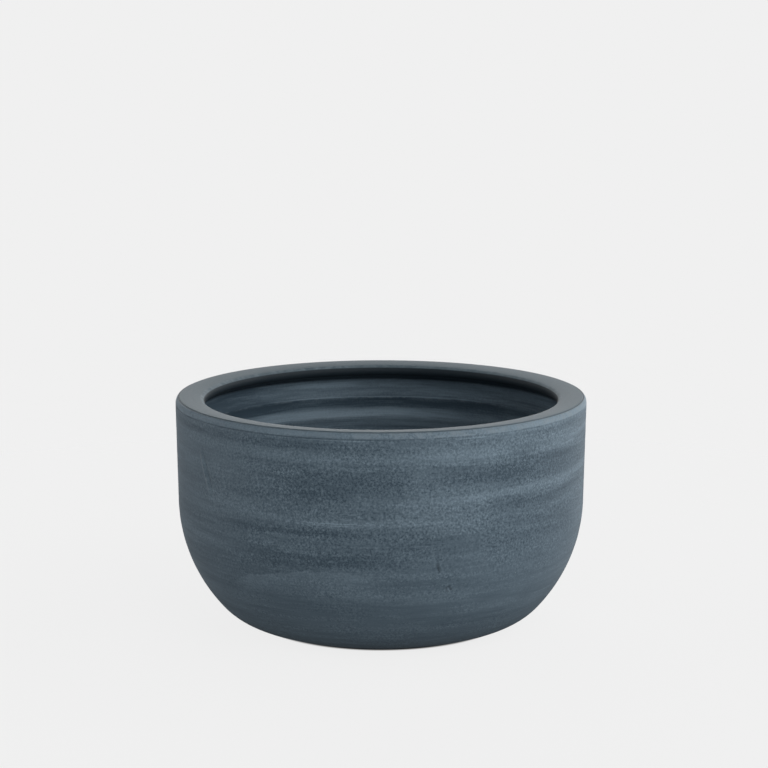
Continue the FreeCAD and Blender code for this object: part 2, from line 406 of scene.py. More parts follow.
@dataclass(frozen=True)
class Flecks:
    """Small spots: how close they may lie, the share of places that has one, and how far one fills it."""

    scale: float
    share: float
    size: float

    def mask(self, graph: Graph, effects: EffectLibrary, position: Socket) -> Socket:
        """Returns where the spots are."""
        feeds = {"Position": position, "Scale": self.scale, "Share": self.share, "Size": self.size}
        return graph.effect(effects[Effect.FLECKS], feeds)


@dataclass(frozen=True)
class Surface:
    """How a finish takes the light: its roughness, what grain adds to it, its relief and its gloss."""

    roughness: float
    grain_roughness: float
    relief: float
    relief_depth: float
    gloss: float

    def dress(self, graph: Graph, shader: Node, colour: Socket, grain: Socket, height: Socket) -> None:
        """Links a finish to its shader.

        Args:
            graph: The material's graph.
            shader: The material's shader.
            colour: The colour.
            grain: The grain that the roughness follows.
            height: The height of the relief.
        """
        roughness = graph.scaled(grain, self.grain_roughness, self.roughness)
        feeds = {"Height": height, "Strength": self.relief, "Distance": self.relief_depth}
        normal = graph.node("ShaderNodeBump", feeds).outputs[0]
        for name, link in (("Base Color", colour), ("Roughness", roughness), ("Normal", normal)):
            graph.tree.links.new(link, shader.inputs[name])
        shader.inputs["Specular IOR Level"].default_value = self.gloss


@dataclass(frozen=True)
class Stroke:
    """One placed band: lighter than the rest where its strength is positive, darker where negative. The
    inside bands and the rim's highlight are painted light and shade.

    It runs from a start to an end, in degrees, about a level that may rise on the way.
    """

    start: float
    end: float
    level: float
    rise: float
    half_width: float
    strength: float


@dataclass(frozen=True)
class TideLine:
    """The wavy edge of a thinner coat of wash, low on the outside, lighter below the edge."""

    start: float = -49.0
    crest: float = -13.0
    end: float = 2.0
    level: float = 0.0965
    drop: float = 0.024
    bow: float = 1.4
    wave: float = 0.0022
    wave_scale: float = 70.0
    edge: float = 0.0009
    fade: float = 0.034
    side_fade: float = 11.0
    strength: float = 0.25


OUTSIDE_STROKES = (
    Stroke(-400.0, 400.0, 0.2265, 0.000, 0.0046, 0.36),
    Stroke(0.0, 110.0, 0.2250, 0.000, 0.0062, 0.24),
    Stroke(24.0, 110.0, 0.2258, 0.000, 0.0046, 0.22),
    Stroke(-21.0, 0.0, 0.2203, 0.000, 0.0004, 0.45),
    Stroke(19.0, 30.0, 0.2200, 0.000, 0.0005, 0.50),
    Stroke(-8.0, 100.0, 0.2095, 0.000, 0.0115, 0.22),
    Stroke(-62.0, 40.0, 0.2035, 0.000, 0.0055, 0.18),
    Stroke(50.0, 100.0, 0.2040, 0.004, 0.0036, 0.30),
    Stroke(6.0, 40.0, 0.2045, -0.003, 0.0055, 0.18),
    Stroke(-40.0, -6.0, 0.2035, 0.002, 0.0045, 0.12),
    Stroke(-58.0, -24.0, 0.1885, 0.000, 0.0055, 0.13),
    Stroke(0.0, 36.0, 0.1700, 0.000, 0.0300, 0.16),
    Stroke(-2.0, 95.0, 0.1660, 0.010, 0.0036, 0.34),
    Stroke(-58.0, -22.0, 0.1530, 0.000, 0.0110, 0.10),
    Stroke(18.0, 85.0, 0.1445, 0.003, 0.0030, 0.10),
    Stroke(-52.0, 30.0, 0.1425, 0.001, 0.0042, 0.22),
    Stroke(-22.0, -2.0, 0.1421, 0.000, 0.0005, 0.50),
    Stroke(-21.0, -4.0, 0.1400, 0.000, 0.0005, 0.40),
    Stroke(-20.0, 28.0, 0.1205, 0.000, 0.0007, 0.16),
    Stroke(36.0, 72.0, 0.2160, 0.000, 0.0026, -0.16),
    Stroke(-90.0, 8.0, 0.2140, 0.000, 0.0034, -0.18),
    Stroke(-26.0, 12.0, 0.1865, 0.000, 0.0065, -0.17),
    Stroke(6.0, 72.0, 0.1855, 0.000, 0.0095, -0.26),
    Stroke(-40.0, 20.0, 0.1760, 0.000, 0.0070, -0.16),
    Stroke(-26.0, -5.0, 0.1680, 0.000, 0.0070, -0.22),
    Stroke(30.0, 80.0, 0.1560, 0.004, 0.0026, -0.16),
    Stroke(24.0, 76.0, 0.1330, 0.000, 0.0280, -0.15),
    Stroke(-52.0, 12.0, 0.1315, 0.000, 0.0026, -0.18),
    Stroke(-80.0, -20.0, 0.1285, 0.000, 0.0050, -0.12),
    Stroke(-24.0, 26.0, 0.1130, 0.000, 0.0090, -0.12),
    Stroke(-42.0, 10.0, 0.1070, 0.002, 0.0065, -0.18),
    Stroke(-80.0, -12.0, 0.0850, 0.000, 0.0300, -0.10),
)

# Painted light and shade inside: lit and shaded bands along the throwing rings, a highlight line on a ring
# crest, and shade at the left end under the lip.
INSIDE_LIGHT_AND_SHADE = (
    Stroke(-75.0, 45.0, 0.2010, 0.000, 0.0080, 0.27),
    Stroke(-38.0, -3.0, 0.2062, 0.000, 0.0026, 0.40),
    Stroke(-62.0, 50.0, 0.1922, 0.000, 0.0008, 0.50),
    Stroke(-85.0, 85.0, 0.1855, 0.000, 0.0050, -0.17),
    Stroke(-72.0, 38.0, 0.1740, 0.000, 0.0055, 0.78),
    Stroke(-60.0, 60.0, 0.1630, 0.000, 0.0045, 0.34),
    Stroke(-130.0, -22.0, 0.1900, 0.000, 0.0300, -0.46),
)

# Painted highlight: a thin pale streak along the back of the rim's inner edge.
RIM_HIGHLIGHT = Stroke(-33.0, -5.0, 0.2266, 0.000, 0.0007, 0.85)


class BowlPlace:
    """Where a point lies on the bowl, as sockets of a material's graph."""

    def __init__(self, graph: Graph) -> None:
        """Adds the nodes that read the place.

        Args:
            graph: The material's graph.
        """
        self.graph = graph
        self.position = graph.node("ShaderNodeTexCoord").outputs["Object"]
        self.across, depth, self.height = graph.node("ShaderNodeSeparateXYZ", {0: self.position}).outputs
        self.from_front = graph.math("ARCTAN2", self.across, graph.times(depth, -1.0))
        self.from_back = graph.math("ARCTAN2", self.across, depth)
        self.path = graph.layer(PATH_LAYER)
        zone = graph.layer(ZONE_LAYER)
        past_wall = self._past(zone, Zone.OUTSIDE)
        self.washed = self._past(zone, Zone.UNDERSIDE)
        self.on_inside = self._past(zone, Zone.RIM)
        self.on_outside = graph.times(self.washed, graph.inverse(past_wall))
        self.on_rim = graph.times(past_wall, graph.inverse(self.on_inside))
        self.rightward = graph.smooth(self.across, *RIGHTWARD)
        self.near_rim = graph.times(self.on_outside, graph.smooth(self.height, *RIM_BAND))

    def _past(self, zone: Socket, last: Zone) -> Socket:
        """Returns a soft step from 0 in a zone to 1 in the next."""
        return self.graph.smooth(zone, last.value + ZONE_STEP, last.value + 1.0 - ZONE_STEP)

    def by_zone(self, outside: Feed, rim: Feed, inside: Feed) -> Socket:
        """Returns a value that each zone has for itself."""
        return self.graph.weighted((self.on_outside, outside), (self.on_rim, rim), (self.on_inside, inside))


@dataclass(frozen=True)
class SlateWash:
    """A thin chalky slate wash brushed over dark clay on the wheel, with bare clay under the foot.

    Values in threes by zone are for the outside, the rim and the inside.
    """

    effects: EffectLibrary
    deep: Colour = (0.040, 0.065, 0.089, 1.0)
    chalk: Colour = (0.154, 0.211, 0.257, 1.0)
    rubbed: Colour = (0.092, 0.125, 0.142, 1.0)
    # Pale colour of rubbed edges and flecks, also of the painted highlights and the rim's painted light.
    pale_wear_and_light: Colour = (0.207, 0.258, 0.293, 1.0)
    # Near-black of the painted shade, also used for the pits.
    shade_and_pit_colour: Colour = (0.012, 0.020, 0.027, 1.0)
    bare: Colour = (0.060, 0.056, 0.052, 1.0)
    bare_pale: Colour = (0.125, 0.116, 0.106, 1.0)
    surface: Surface = Surface(0.62, 0.05, 0.4, 0.00012, 0.25)
    tide: TideLine = TideLine()
    pits: Flecks = Flecks(170.0, 0.03, 0.16)
    specks: Flecks = Flecks(260.0, 0.02, 0.20)
    pit_darkness: float = 0.7
    grain_scale: float = 480.0
    brush_runs: Triple = (1.3, 2.6, 7.0)
    brush_fineness: Triple = (60.0, 210.0, 680.0)
    brush_weights: Triple = (0.09, 0.07, 0.07)
    relief_weights: Triple = (0.55, 0.25, -1.4)
    tone_by_zone: Triple = (0.42, 0.42, 0.36)
    brushed_by_zone: Triple = (1.0, 0.7, 1.8)
    stipple_by_zone: Triple = (0.42, 0.07, 0.10)
    relief_by_zone: Triple = (1.0, 0.25, 0.4)
    most_chalk: float = 1.3
    patch_scale: float = 24.0
    dab_heights: Point = (0.05, 0.14)
    dab_weights: tuple[float, ...] = (0.35, 0.25, 0.66, 0.42)
    ribbed_heights: Point = (0.2195, 0.2235)
    ribbed_less: float = 0.7
    rough_across: Point = (-0.21, -0.09)
    least_rough: float = 0.42
    stroke_waver: float = 0.35
    # Painted light: the rim is painted paler towards the right.
    rim_lit_across: Point = (-0.02, 0.17)
    rim_lit: float = 0.30
    rim_rubbed: float = 0.7
    # Heights and share by which the painted shade in the line below the rim is lifted on the right.
    right_shade_lift_heights: Point = (0.2265, 0.2245)
    right_shade_lift: float = 0.75
    # How much less the rim's rounding pales on its left.
    rim_left_less_pale: float = 0.7
    wear_scale: float = 140.0
    foot_line: float = 0.0023
    foot_waver: float = 0.0003
    foot_scale: float = 60.0

    def material(self) -> Material:
        """Builds the wash as a material for the bowl.

        Returns:
            The material.
        """
        material, graph, shader = new_material("slate_wash")
        place = BowlPlace(graph)
        feeds = {"Position": place.position, "Scale": self.grain_scale}
        grain = graph.effect(self.effects[Effect.MOTTLE], feeds)
        brushes = [
            graph.effect(
                self.effects[Effect.BRUSH],
                {"Position": place.position, "Path": place.path, "Run": run, "Fineness": fineness},
            )
            for run, fineness in zip(self.brush_runs, self.brush_fineness)
        ]
        fine = brushes[-1]
        pits, specks = (kind.mask(graph, self.effects, place.position) for kind in (self.pits, self.specks))
        colour = self._wash(place, grain, brushes)
        # Rubbed edges, painted highlights and pale flecks.
        light = graph.math("MAXIMUM", self._wear_and_highlights(place, fine), graph.times(specks, place.on_outside))
        colour = graph.blend(light, colour, self.pale_wear_and_light)
        # Painted shade and dark pits.
        dark = graph.math("MAXIMUM", self._painted_shade(place), graph.times(pits, self.pit_darkness))
        colour = graph.blend(dark, colour, self.shade_and_pit_colour)
        colour = self._foot(place, grain, colour)
        grainy = graph.times(grain, place.by_zone(*self.relief_by_zone))
        height = graph.weighted(*zip((grainy, fine, pits), self.relief_weights))
        self.surface.dress(graph, shader, colour, grain, height)
        return material

    def _wash(self, place: BowlPlace, grain: Socket, brushes: list[Socket]) -> Socket:
        """Mixes the wash from its deep and its chalky colour.

        Args:
            place: Where the point lies on the bowl.
            grain: The chalky grain.
            brushes: Broad, medium and fine brush marks.

        Returns:
            The colour of the wash.
        """
        graph = place.graph
        medium = brushes[1]
        patches = graph.spread(graph.noise(place.position, self.patch_scale), *MARK_RANGE)
        climb = graph.smooth(place.height, *self.dab_heights)
        dabbed = graph.weighted(*zip((medium, patches, climb, 1.0), self.dab_weights))
        ribbed = graph.times(
            graph.smooth(place.height, *self.ribbed_heights),
            graph.scaled(place.rightward, -self.ribbed_less, 1.0),
        )
        rough = graph.times(graph.smooth(place.across, *self.rough_across), graph.inverse(ribbed))
        coverage = graph.scaled(rough, 1.0 - self.least_rough, self.least_rough)
        stipple = graph.times(graph.times(grain, dabbed), coverage)
        brushed = graph.weighted(*zip(brushes, self.brush_weights))
        outside = self._strokes(place, place.from_front, medium, OUTSIDE_STROKES)
        # Painted light and shade inside the bowl.
        inside = self._strokes(place, place.from_back, medium, INSIDE_LIGHT_AND_SHADE)
        tone = graph.weighted(
            (brushed, place.by_zone(*self.brushed_by_zone)),
            (stipple, place.by_zone(*self.stipple_by_zone)),
            (graph.plus(outside, self._tide(place)), place.on_outside),
            (inside, place.on_inside),
            (place.by_zone(*self.tone_by_zone), 1.0),
        )
        tone = graph.math("MAXIMUM", graph.math("MINIMUM", tone, self.most_chalk), 0.0)
        feeds = {0: tone, 6: self.deep, 7: self.chalk}
        wash = graph.node("ShaderNodeMix", feeds, data_type="RGBA", clamp_factor=False).outputs[2]
        # Painted light: a paler rim towards the right.
        rim_lit = graph.times(graph.smooth(place.across, *self.rim_lit_across), self.rim_lit)
        rim = graph.blend(rim_lit, self.rubbed, self.pale_wear_and_light)
        return graph.blend(graph.times(place.on_rim, self.rim_rubbed), wash, rim)

    def _painted_shade(self, place: BowlPlace) -> Socket:
        """Paints shade into the fine lines, the marks' grooves, and under the rim's inner edge and the lip,
        less in the line below the rim on the right.

        Args:
            place: Where the point lies on the bowl.

        Returns:
            How strong the painted shade is.
        """
        graph = place.graph
        at_line = graph.times(place.near_rim, graph.smooth(place.height, *self.right_shade_lift_heights))
        right_shade_lift = graph.times(at_line, place.rightward)
        return graph.times(graph.layer(PAINTED_SHADE_LAYER), graph.scaled(right_shade_lift, -self.right_shade_lift, 1.0))

    def _wear_and_highlights(self, place: BowlPlace, waver: Socket) -> Socket:
        """Pales edges by rubbing and paints highlights on crests, raised lips and the back rim's inner edge;
        less on the left of the rim's rounding.

        Args:
            place: Where the point lies on the bowl.
            waver: Brush marks that unsettle the edges of the rim's painted highlight.

        Returns:
            How far rubbing and painted highlight pale the wash.
        """
        graph = place.graph
        # Painted highlight along the back of the rim's inner edge.
        rim_highlight = self._strokes(place, place.from_back, waver, (RIM_HIGHLIGHT,))
        rim_highlight = graph.times(rim_highlight, graph.inverse(place.on_outside))
        kept = graph.times(place.near_rim, graph.inverse(place.rightward))
        edges = graph.times(graph.layer(WEAR_AND_HIGHLIGHT_LAYER), graph.scaled(kept, -self.rim_left_less_pale, 1.0))
        wear_and_highlight = graph.math("MAXIMUM", edges, rim_highlight)
        feeds = {"Position": place.position, "Scale": self.wear_scale, "Wear": wear_and_highlight}
        return graph.effect(self.effects[Effect.EDGE_WEAR], feeds)

    def _foot(self, place: BowlPlace, grain: Socket, washed: Socket) -> Socket:
        """Ends the wash in an uneven line above the bare foot.

        Args:
            place: Where the point lies on the bowl.
            grain: The clay's grain.
            washed: The colour above the line.

        Returns:
            The colour with bare clay below the line.
        """
        graph = place.graph
        clay = graph.blend(graph.scaled(grain, 0.5, 0.5), self.bare, self.bare_pale)
        line = graph.plus(place.height, graph.waver(place.position, self.foot_scale, self.foot_waver))
        covered = graph.smooth(line, self.foot_line, self.foot_line + self.foot_waver)
        return graph.blend(graph.times(place.washed, covered), clay, washed)

    def _strokes(
        self, place: BowlPlace, angle: Socket, waver: Socket, strokes: tuple[Stroke, ...]
    ) -> Socket:
        """Adds up placed streaks.

        Args:
            place: Where the point lies on the bowl.
            angle: The angle that the streaks' ends are measured in.
            waver: Brush marks that unsettle the streaks' edges.
            strokes: The streaks.

        Returns:
            How much lighter or darker the streaks make the wash.
        """
        graph = place.graph
        feeds = {"Angle": angle, "Height": place.height, "Waver": graph.times(waver, self.stroke_waver)}
        tones = []
        for stroke in strokes:
            feeds["Start"] = math.radians(stroke.start)
            feeds["End"] = math.radians(stroke.end)
            feeds["Level"] = stroke.level
            feeds["Rise"] = stroke.rise
            feeds["Half Width"] = stroke.half_width
            tones.append((graph.effect(self.effects[Effect.STROKE], feeds), stroke.strength))
        return graph.weighted(*tones)

    def _tide(self, place: BowlPlace) -> Socket:
        """Draws the edge of the thinner coat.

        Args:
            place: Where the point lies on the bowl.

        Returns:
            How much lighter the coat is below its edge.
        """
        graph = place.graph
        tide = self.tide
        crest, start, end, side_fade = map(math.radians, (tide.crest, tide.start, tide.end, tide.side_fade))
        from_crest = graph.math("DIVIDE", graph.minus(place.from_front, crest), start - crest)
        sag = graph.times(graph.math("POWER", graph.math("ABSOLUTE", from_crest), tide.bow), tide.drop)
        wave = graph.waver(place.position, tide.wave_scale, tide.wave)
        below = graph.minus(graph.plus(graph.minus(tide.level, sag), wave), place.height)
        coat = graph.times(graph.smooth(below, 0.0, tide.edge), graph.smooth(below, tide.fade, 0.0))
        sides = graph.window(place.from_front, start, end, side_fade)
        return graph.times(graph.times(coat, sides), tide.strength)


@dataclass(frozen=True)
class MouldedRubber:
    """Matte black rubber with a fine grain, a pale bloom and scuffed edges."""

    effects: EffectLibrary
    name: str
    base: Colour
    bloom: Colour
    grain: float
    surface: Surface = Surface(0.56, 0.08, 0.3, 0.0001, 0.45)
    cloud_size: float = 12.0
    scuff_size: float = 4.0
    dust_size: float = 2.0
    dust_share: float = 0.12
    dust_spot: float = 0.25
    bloom_weights: tuple[float, ...] = (0.08, 0.10, 0.5, 0.3)
    least_bloom: float = 0.18

    def material(self) -> Material:
        """Builds the rubber as a material.

        Returns:
            The material.
        """
        material, graph, shader = new_material(self.name)
        position = graph.node("ShaderNodeTexCoord").outputs["Object"]
        grain, cloud = (
            graph.effect(self.effects[Effect.MOTTLE], {"Position": position, "Scale": scale})
            for scale in (self.grain, self.grain / self.cloud_size)
        )
        feeds = {"Position": position, "Scale": self.grain / self.scuff_size, "Wear": graph.layer(WEAR_AND_HIGHLIGHT_LAYER)}
        scuffs = graph.effect(self.effects[Effect.EDGE_WEAR], feeds)
        specks = Flecks(self.grain / self.dust_size, self.dust_share, self.dust_spot)
        dust = specks.mask(graph, self.effects, position)
        bloom = graph.weighted(*zip((grain, cloud, scuffs, dust), self.bloom_weights))
        pale = graph.math("MAXIMUM", graph.plus(bloom, self.least_bloom), 0.0)
        self.surface.dress(graph, shader, graph.blend(pale, self.base, self.bloom), grain, grain)
        return material


def polar(centre: Point, radius: float, degrees: float) -> Point:
    """Returns the point at a distance and an angle from a centre."""
    turn = math.radians(degrees)
    return centre[0] + radius * math.cos(turn), centre[1] + radius * math.sin(turn)


class SectionPen:
    """Draws a section in the XZ plane, run after run, and keeps each vertex's zone, its rubbing and painted
    highlight, and its painted shade.
    """

    def __init__(self, mesh: Mesh, across: float, up: float) -> None:
        """Starts the section at a point.

        Args:
            mesh: An empty mesh.
            across: The point's distance from the axis.
            up: Its level.
        """
        self.mesh = mesh
        layers = mesh.verts.layers.float
        for name in (ZONE_LAYER, WEAR_AND_HIGHLIGHT_LAYER, PAINTED_SHADE_LAYER, PATH_LAYER):
            layers.new(name)
        self.zones = layers[ZONE_LAYER]
        self.wears_and_highlights = layers[WEAR_AND_HIGHLIGHT_LAYER]
        self.painted_shades = layers[PAINTED_SHADE_LAYER]
        self.paths = layers[PATH_LAYER]
        self.zone = Zone.UNDERSIDE
        self.tip = mesh.verts.new((across, 0.0, up))
        self.drawn = 1

    def _mark(self, wear_and_highlight: float, painted_shade: float) -> None:
        """Gives the vertices of the last run their zone, rubbing and painted highlight, and painted shade.

        Args:
            wear_and_highlight: How far rubbing and painted highlight pale the run.
            painted_shade: How much painted shade darkens it.
        """
        self.mesh.verts.ensure_lookup_table()
        for vert in self.mesh.verts[self.drawn:]:
            vert[self.zones] = self.zone.value
            vert[self.wears_and_highlights] = wear_and_highlight
            vert[self.painted_shades] = painted_shade
        self.drawn = len(self.mesh.verts)

    def line_to(self, across: float, up: float, parts: int = 1, wear_and_highlight: float = 0.0, painted_shade: float = 0.0) -> None:
        """Draws a straight run to a point.

        Args:
            across: The point's distance from the axis.
            up: Its level.
            parts: How many edges the run has.
            wear_and_highlight: How far rubbing and painted highlight pale it.
            painted_shade: How much painted shade darkens it.
        """
        made = bmesh.ops.extrude_vert_indiv(self.mesh, verts=[self.tip])
        self.tip = made["verts"][0]
        self.tip.co = (across, 0.0, up)
        if parts > 1:
            bmesh.ops.subdivide_edges(self.mesh, edges=made["edges"], cuts=parts - 1)
            self.mesh.verts.ensure_lookup_table()
            self.tip = self.mesh.verts[self.drawn]
        self._mark(wear_and_highlight, painted_shade)

    def arc(self, centre: Point, degrees: float, parts: int, wear_and_highlight: float = 0.0, painted_shade: float = 0.0) -> None:
        """Draws a round run.

        Args:
            centre: The middle of the round.
            degrees: The turn. A positive one goes from +X towards +Z.
            parts: How many edges the run has.
            wear_and_highlight: How far rubbing and painted highlight pale it.
            painted_shade: How much painted shade darkens it.
        """
        made = bmesh.ops.spin(
            self.mesh,
            geom=[self.tip],
            cent=(centre[0], 0.0, centre[1]),
            axis=(0.0, -1.0, 0.0),
            angle=math.radians(degrees),
            steps=parts,
        )
        self.tip = made["geom_last"][0]
        self._mark(wear_and_highlight, painted_shade)

    def hollow_down(self, fall: float, depth: float, parts: int) -> None:
        """Draws a shallow round hollow straight down, which sinks outwards by a depth."""
        half = fall / 2
        radius = (half ** 2 + depth ** 2) / (2 * depth)
        centre = (self.tip.co.x + depth - radius, self.tip.co.z - half)
        self.arc(centre, -2 * math.degrees(math.asin(half / radius)), parts)

    def close(self, parts: int) -> None:
        """Joins the end to the start and measures the path along the section."""
        edge = self.mesh.edges.new((self.tip, self.mesh.verts[0]))
        bmesh.ops.subdivide_edges(self.mesh, edges=[edge], cuts=parts - 1)
        self._mark(0.0, 0.0)
        self._measure()

    def _measure(self) -> None:
        """Writes each vertex's distance along the section, from the start."""
        self.mesh.verts.index_update()
        first = self.mesh.verts[0]
        edge = min(first.link_edges, key=lambda link: link.other_vert(first).index)
        here = edge.other_vert(first)
        path = edge.calc_length()
        while here != first:
            here[self.paths] = path
            edge = next(link for link in here.link_edges if link != edge)
            path += edge.calc_length()
            here = edge.other_vert(here)


@dataclass(frozen=True)
class Mark:
    """A nick or crease in the outside of the clay, from one angle and height to another."""

    start: Point
    end: Point
    width: float
    depth: float
    lip: float
    taper: float = 0.6
    lip_place: float = 1.9

    def _run(self, radius: float) -> Vector:
        """Returns the mark's run, along the surface and up."""
        arc = math.radians(1.0) * radius
        return Vector(((self.end[0] - self.start[0]) * arc, self.end[1] - self.start[1]))

    def past(self, along: float, radius: float) -> float:
        """Returns how far beyond the mark's ends a place lies."""
        return max(0.0, -along, along - 1.0) * self._run(radius).length

    def offset(self, angle: float, height: float, radius: float) -> Point:
        """Measures a place against the mark.

        Args:
            angle: The place's angle, in degrees from the front.
            height: Its height.
            radius: The bowl's radius there.

        Returns:
            How far along the mark it lies, from 0 at its start to 1 at its end, and how far to its right.
        """
        run = self._run(radius)
        here = Vector((math.radians(angle - self.start[0]) * radius, height - self.start[1]))
        along = here.dot(run) / run.length_squared
        right = (here - run * along).dot(Vector((-run.y, run.x))) / run.length
        return along, right

    def height(self, along: float, right: float, radius: float) -> float:
        """Works out the clay's relief beside the mark.

        Args:
            along: How far along the mark the place lies, from 0 to 1.
            right: How far to its right.
            radius: The bowl's radius there.

        Returns:
            How far the clay stands out, or less than 0 where it sinks in.
        """
        taper = 1.0 - self.taper * (2.0 * min(1.0, max(0.0, along)) - 1.0) ** 2
        fade = taper * math.exp(-((self.past(along, radius) / self.width) ** 2))
        groove = math.exp(-((right / self.width) ** 2))
        ridge = math.exp(-((right / self.width + self.lip_place) ** 2))
        return fade * (self.lip * ridge - self.depth * groove)


@dataclass
class ThrownBowl:
    """The bowl: one piece of thrown clay with a rolled-in lip, throwing rings, a foot ring and a drain."""

    finish: SlateWash
    node: str = "pot_body"
    slot: str = "washed_clay"
    wall_draft: float = 0.0019
    wall_thickness: float = 0.016
    belly_radius: float = 0.158
    belly_sweep: float = 42.0
    heel_radius: float = 0.0585
    rim_width: float = 0.029
    rim_round: float = 0.0075
    rim_edge: float = 0.003
    rim_turn: float = 45.0
    rim_slope: float = 5.0
    nose_radius: float = 0.006
    nose_turn: float = 40.0
    lip_slope: float = 30.0
    rim_line_turn: float = 48.0
    rim_line_width: float = 38.0
    rim_line_depth: float = 0.0006
    wall_line_width: float = 0.0013
    wall_line_depth: float = 0.0004
    ring_falls: tuple[float, ...] = (0.0205, 0.0238, 0.0220, 0.0175)
    ring_depths: tuple[float, ...] = (0.0011, 0.0024, 0.0021, 0.0015)
    ring_land: float = 0.0009
    foot_ring_width: float = 0.026
    foot_recess: float = 0.003
    foot_bevel: float = 0.0015
    drain_radius: float = 0.014
    drain_taper: float = 0.002
    drain_bevel: float = 0.001
    turns: int = 240
    underside_parts: int = 6
    foot_parts: int = 4
    heel_parts: int = 22
    belly_parts: int = 46
    wall_parts: int = 46
    round_parts: int = 8
    line_parts: int = 3
    dome_parts: int = 14
    nose_parts: tuple[int, int] = (5, 11)
    lip_parts: int = 7
    ring_parts: int = 10
    inner_belly_parts: int = 40
    inner_heel_parts: int = 14
    floor_parts: int = 12
    drain_parts: int = 5
    foot_wear: float = 0.6
    round_wear: float = 0.8
    edge_wear: float = 0.5
    # Painted highlight along the crests of the throwing rings and the top of the rim's inner edge.
    crest_highlight: float = 0.35
    # Painted shade in the two fine lines below the rim's edge, under the rim's inner edge and under the lip.
    wall_line_shade: float = 0.4
    rim_line_shade: float = 0.8
    nose_shade: float = 0.96
    lip_shade: float = 0.65
    rim_lean: float = 0.0008
    out_of_round: float = 0.0004
    lobes: tuple[tuple[int, float, float], ...] = ((2, 1.0, 0.7), (3, 0.6, 2.1))
    ripple: float = 0.00010
    ripple_fineness: float = 110.0
    mark_margin: float = 0.006
    mark_cuts: int = 6
    # Painted shade in each mark's groove and painted highlight on its raised lip, both set by the depth of
    # the relief.
    mark_shading: float = 500.0
    mark_highlight: float = 450.0
    marks: tuple[Mark, ...] = (
        Mark((-52.8, 0.155), (-56.8, 0.191), 0.0024, -0.0013, -0.0005),
        Mark((15.7, 0.0945), (14.9, 0.1030), 0.0012, 0.0009, 0.0006),
        Mark((17.7, 0.0770), (18.7, 0.0788), 0.0013, 0.0009, 0.0006),
        Mark((18.7, 0.0788), (19.6, 0.0750), 0.0013, 0.0009, 0.0006),
        Mark((27.1, 0.0955), (29.5, 0.1000), 0.0012, -0.0004, 0.0000),
    )

    def build(self) -> Piece:
        """Turns, marks and settles the bowl.

        Returns:
            The finished bowl, riding on its body in place of its node.
        """
        low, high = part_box(self.node)
        mesh = bmesh.new()
        start = (self._outlet() + self.drain_bevel, low.z + self.foot_recess)
        self._section(SectionPen(mesh, *start), low, high)
        bmesh.ops.spin(
            mesh,
            geom=mesh.verts[:] + mesh.edges[:],
            cent=(0.0, 0.0, 0.0),
            axis=(0.0, 0.0, 1.0),
            angle=math.tau,
            steps=self.turns,
            use_merge=True,
        )
        bmesh.ops.remove_doubles(mesh, verts=mesh.verts, dist=MERGE_DISTANCE)
        bmesh.ops.recalc_face_normals(mesh, faces=mesh.faces)
        for mark in self.marks:
            self._press(mesh, mark)
        self._settle(mesh, high.z)
        return finish_piece(mesh, "bowl", self.finish.material(), Body.POT, self.node)

    def _outlet(self) -> float:
        """Returns the drain hole's radius where it leaves the floor."""
        return self.drain_radius - self.drain_taper * (1 - self.foot_recess / self.wall_thickness)

    def _section(self, pen: SectionPen, low: Vector, high: Vector) -> None:
        """Draws the bowl's section, from the underside round the outside and back down the inside.

        Args:
            pen: A pen that stands at the lower edge of the drain hole.
            low: The lowest corner of the bowl's node.
            high: The highest corner of the bowl's node.
        """
        outer = high.x
        wall = outer - self.wall_draft
        inner = wall - self.wall_thickness
        step = self.belly_radius - self.heel_radius
        sweep = math.radians(self.belly_sweep)
        belly = (wall - self.belly_radius, low.z + self.heel_radius + step * math.sin(sweep))
        heel = (belly[0] + step * math.cos(sweep), low.z + self.heel_radius)
        recess = heel[0] - self.foot_ring_width
        floor = low.z + self.wall_thickness

        pen.line_to(recess, low.z + self.foot_recess, self.underside_parts)
        pen.line_to(recess, low.z + self.foot_bevel)
        pen.line_to(recess + self.foot_bevel, low.z, wear_and_highlight=self.foot_wear)
        pen.line_to(heel[0], low.z, self.foot_parts)
        pen.zone = Zone.OUTSIDE
        pen.arc(heel, 90.0 - self.belly_sweep, self.heel_parts)
        pen.arc(belly, self.belly_sweep, self.belly_parts)
        self._rim(pen, outer, high.z)
        pen.zone = Zone.INSIDE
        lip_fall = math.tan(math.radians(self.lip_slope)) * (inner - pen.tip.co.x)
        pen.line_to(inner, pen.tip.co.z - lip_fall, self.lip_parts, painted_shade=self.lip_shade)
        for fall, depth in zip(self.ring_falls, self.ring_depths):
            pen.hollow_down(fall - self.ring_land, depth, self.ring_parts)
            pen.line_to(inner, pen.tip.co.z - self.ring_land, wear_and_highlight=self.crest_highlight)
        pen.line_to(inner, belly[1])
        pen.arc(belly, -self.belly_sweep, self.inner_belly_parts)
        pen.arc(heel, self.belly_sweep - 90.0, self.inner_heel_parts)
        pen.line_to(self.drain_radius + self.drain_bevel, floor, self.floor_parts)
        slope = self.drain_taper / self.wall_thickness
        pen.line_to(self.drain_radius - self.drain_bevel * slope, floor - self.drain_bevel)
        outlet = self._outlet() + self.drain_bevel * slope
        pen.line_to(outlet, low.z + self.foot_recess + self.drain_bevel, self.drain_parts)
        pen.close(2)

